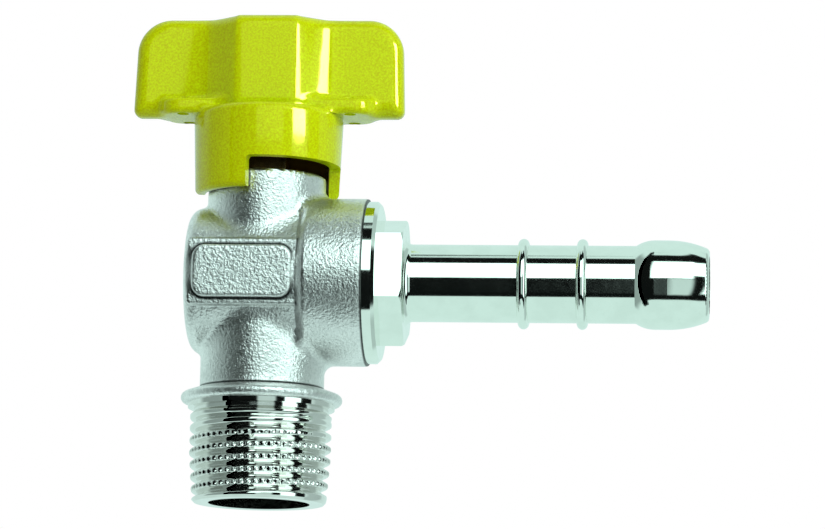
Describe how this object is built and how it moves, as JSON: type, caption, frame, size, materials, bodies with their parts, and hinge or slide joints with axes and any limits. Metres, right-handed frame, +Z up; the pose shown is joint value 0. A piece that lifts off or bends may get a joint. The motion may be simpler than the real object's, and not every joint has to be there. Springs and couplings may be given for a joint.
{
  "type": "angled gas ball valve",
  "caption": "Right-angle gas ball valve: male taper-thread inlet below, hose tail outlet at the side, butterfly handle on top that turns a quarter turn to close.",
  "frame": {"origin": "centre of the inlet's end face, on the stem axis", "axes": "+Z up along the inlet and stem axis, towards the handle; +X along the outlet, towards the hose tail's nose; +Y to the back"},
  "size_m": [0.0864, 0.0248, 0.0728],
  "materials": {
    "blasted_nickel": "blasted nickel plate on forged brass",
    "bright_nickel": "bright nickel plate on turned brass",
    "ball_chrome": "polished chrome plate",
    "stem_brass": "turned",
    "yellow_paint": "gloss powder coat on die casting",
    "seat_plastic": "matte",
    "seal_rubber": "matte",
    "zinc_steel": "zinc plate"
  },
  "bodies": {
    "valve_body": {"body": "blasted_nickel", "hose_tail": "bright_nickel", "connector_seal": "seal_rubber", "outlet_seat": "seat_plastic", "rear_seat": "seat_plastic"},
    "rotor": {"handle": "yellow_paint", "handle_screw": "zinc_steel", "handle_washer": "zinc_steel", "stem": "stem_brass", "stem_thrust_washer": "seat_plastic", "stem_o_ring_lower": "seal_rubber", "stem_o_ring_upper": "seal_rubber", "ball": "ball_chrome"}
  },
  "joints": [
    {"name": "handle_turn", "type": "hinge", "parent": "valve_body", "child": "rotor", "pos_m": [0, 0, 0.0331], "axis": [0, 0, 1], "range_deg": [-90, 0]}
  ]
}
